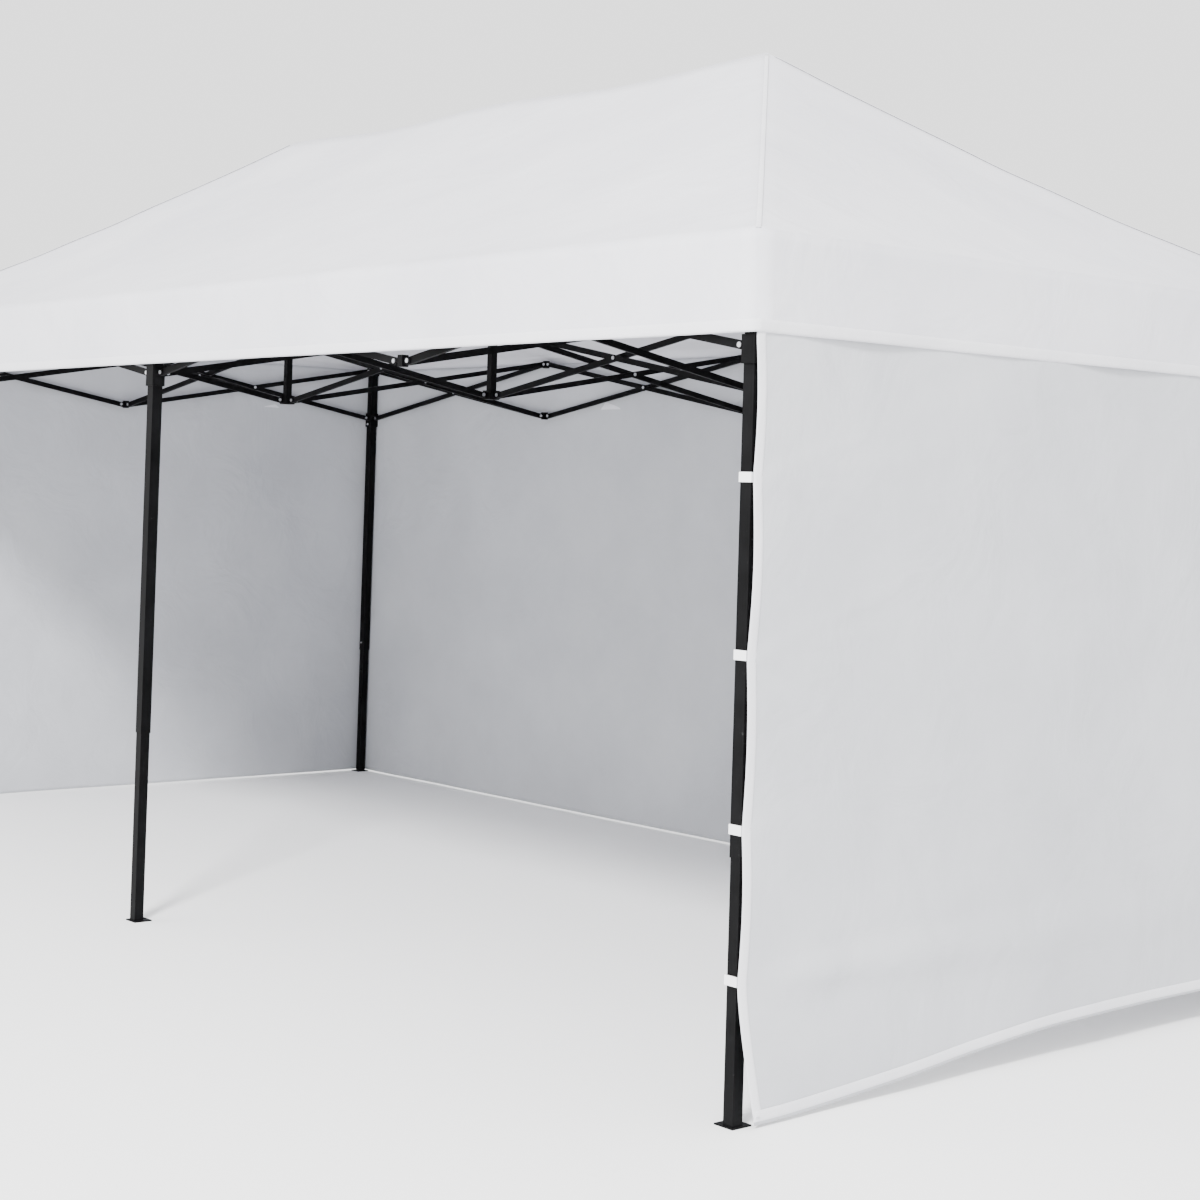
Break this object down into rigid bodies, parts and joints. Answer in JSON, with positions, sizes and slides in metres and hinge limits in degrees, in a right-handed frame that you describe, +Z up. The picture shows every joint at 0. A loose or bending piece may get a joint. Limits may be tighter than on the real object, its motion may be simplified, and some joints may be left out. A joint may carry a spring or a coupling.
{
  "type": "pop up canopy",
  "caption": "Rectangular pop-up canopy with a folding scissor frame, telescopic legs, a hip roof with a valance and side walls on three sides.",
  "frame": {"origin": "floor level under the centre of the plan", "axes": "+X along the long side to the right-hand wall, -Y to the open front, +Z up"},
  "size_m": [6.07, 3.07, 3.1],
  "materials": {
    "frame_black": "black powder coat, semi-gloss",
    "zinc": "zinc plated",
    "roof_cloth": "coated white polyester weave",
    "wall_cloth": "coated white polyester weave",
    "strap": "white woven tape"
  },
  "bodies": {
    "frame": {"leg_outer_front_left": "frame_black", "top_bracket_front_left": "frame_black", "slider_front_left": "frame_black", "leg_outer_front_middle": "frame_black", "top_bracket_front_middle": "frame_black", "slider_front_middle": "frame_black", "leg_outer_front_right": "frame_black", "top_bracket_front_right": "frame_black", "slider_front_right": "frame_black", "leg_outer_back_left": "frame_black", "top_bracket_back_left": "frame_black", "slider_back_left": "frame_black", "leg_outer_back_middle": "frame_black", "top_bracket_back_middle": "frame_black", "slider_back_middle": "frame_black", "leg_outer_back_right": "frame_black", "top_bracket_back_right": "frame_black", "slider_back_right": "frame_black", "scissor_bars_front": "frame_black", "scissor_bars_ridge": "frame_black", "scissor_bars_back": "frame_black", "scissor_bars_left_end": "frame_black", "scissor_bars_left": "frame_black", "scissor_bars_middle": "frame_black", "scissor_bars_right": "frame_black", "scissor_bars_right_end": "frame_black", "upper_connectors": "frame_black", "lower_connectors": "frame_black", "peak_poles": "frame_black", "peak_caps": "frame_black", "pivot_bolts": "zinc", "roof": "roof_cloth", "wall_right": "wall_cloth", "wall_back": "wall_cloth", "wall_left": "wall_cloth", "wall_straps": "strap"},
    "inner_leg_front_left": {"leg_inner_front_left": "frame_black", "foot_plate_front_left": "frame_black"},
    "slider_button_front_left": {"slider_button_front_left": "zinc"},
    "leg_button_front_left": {"leg_button_front_left": "zinc"},
    "inner_leg_front_middle": {"leg_inner_front_middle": "frame_black", "foot_plate_front_middle": "frame_black"},
    "slider_button_front_middle": {"slider_button_front_middle": "zinc"},
    "leg_button_front_middle": {"leg_button_front_middle": "zinc"},
    "inner_leg_front_right": {"leg_inner_front_right": "frame_black", "foot_plate_front_right": "frame_black"},
    "slider_button_front_right": {"slider_button_front_right": "zinc"},
    "leg_button_front_right": {"leg_button_front_right": "zinc"},
    "inner_leg_back_left": {"leg_inner_back_left": "frame_black", "foot_plate_back_left": "frame_black"},
    "slider_button_back_left": {"slider_button_back_left": "zinc"},
    "leg_button_back_left": {"leg_button_back_left": "zinc"},
    "inner_leg_back_middle": {"leg_inner_back_middle": "frame_black", "foot_plate_back_middle": "frame_black"},
    "slider_button_back_middle": {"slider_button_back_middle": "zinc"},
    "leg_button_back_middle": {"leg_button_back_middle": "zinc"},
    "inner_leg_back_right": {"leg_inner_back_right": "frame_black", "foot_plate_back_right": "frame_black"},
    "slider_button_back_right": {"slider_button_back_right": "zinc"},
    "leg_button_back_right": {"leg_button_back_right": "zinc"}
  },
  "joints": [
    {"name": "leg_slide_front_left", "type": "slide", "parent": "frame", "child": "inner_leg_front_left", "axis": [0, 0, 1], "range_m": [0, 0.3]},
    {"name": "slider_press_front_left", "type": "slide", "parent": "frame", "child": "slider_button_front_left", "axis": [0, -1, 0], "range_m": [0, 0.003], "stiffness_N_per_m": 800},
    {"name": "leg_press_front_left", "type": "slide", "parent": "frame", "child": "leg_button_front_left", "axis": [0, -1, 0], "range_m": [0, 0.003], "stiffness_N_per_m": 800},
    {"name": "leg_slide_front_middle", "type": "slide", "parent": "frame", "child": "inner_leg_front_middle", "axis": [0, 0, 1], "range_m": [0, 0.3]},
    {"name": "slider_press_front_middle", "type": "slide", "parent": "frame", "child": "slider_button_front_middle", "axis": [0, -1, 0], "range_m": [0, 0.003], "stiffness_N_per_m": 800},
    {"name": "leg_press_front_middle", "type": "slide", "parent": "frame", "child": "leg_button_front_middle", "axis": [0, -1, 0], "range_m": [0, 0.003], "stiffness_N_per_m": 800},
    {"name": "leg_slide_front_right", "type": "slide", "parent": "frame", "child": "inner_leg_front_right", "axis": [0, 0, 1], "range_m": [0, 0.3]},
    {"name": "slider_press_front_right", "type": "slide", "parent": "frame", "child": "slider_button_front_right", "axis": [0, -1, 0], "range_m": [0, 0.003], "stiffness_N_per_m": 800},
    {"name": "leg_press_front_right", "type": "slide", "parent": "frame", "child": "leg_button_front_right", "axis": [0, -1, 0], "range_m": [0, 0.003], "stiffness_N_per_m": 800},
    {"name": "leg_slide_back_left", "type": "slide", "parent": "frame", "child": "inner_leg_back_left", "axis": [0, 0, 1], "range_m": [0, 0.3]},
    {"name": "slider_press_back_left", "type": "slide", "parent": "frame", "child": "slider_button_back_left", "axis": [0, 1, 0], "range_m": [0, 0.003], "stiffness_N_per_m": 800},
    {"name": "leg_press_back_left", "type": "slide", "parent": "frame", "child": "leg_button_back_left", "axis": [0, 1, 0], "range_m": [0, 0.003], "stiffness_N_per_m": 800},
    {"name": "leg_slide_back_middle", "type": "slide", "parent": "frame", "child": "inner_leg_back_middle", "axis": [0, 0, 1], "range_m": [0, 0.3]},
    {"name": "slider_press_back_middle", "type": "slide", "parent": "frame", "child": "slider_button_back_middle", "axis": [0, 1, 0], "range_m": [0, 0.003], "stiffness_N_per_m": 800},
    {"name": "leg_press_back_middle", "type": "slide", "parent": "frame", "child": "leg_button_back_middle", "axis": [0, 1, 0], "range_m": [0, 0.003], "stiffness_N_per_m": 800},
    {"name": "leg_slide_back_right", "type": "slide", "parent": "frame", "child": "inner_leg_back_right", "axis": [0, 0, 1], "range_m": [0, 0.3]},
    {"name": "slider_press_back_right", "type": "slide", "parent": "frame", "child": "slider_button_back_right", "axis": [0, 1, 0], "range_m": [0, 0.003], "stiffness_N_per_m": 800},
    {"name": "leg_press_back_right", "type": "slide", "parent": "frame", "child": "leg_button_back_right", "axis": [0, 1, 0], "range_m": [0, 0.003], "stiffness_N_per_m": 800}
  ]
}
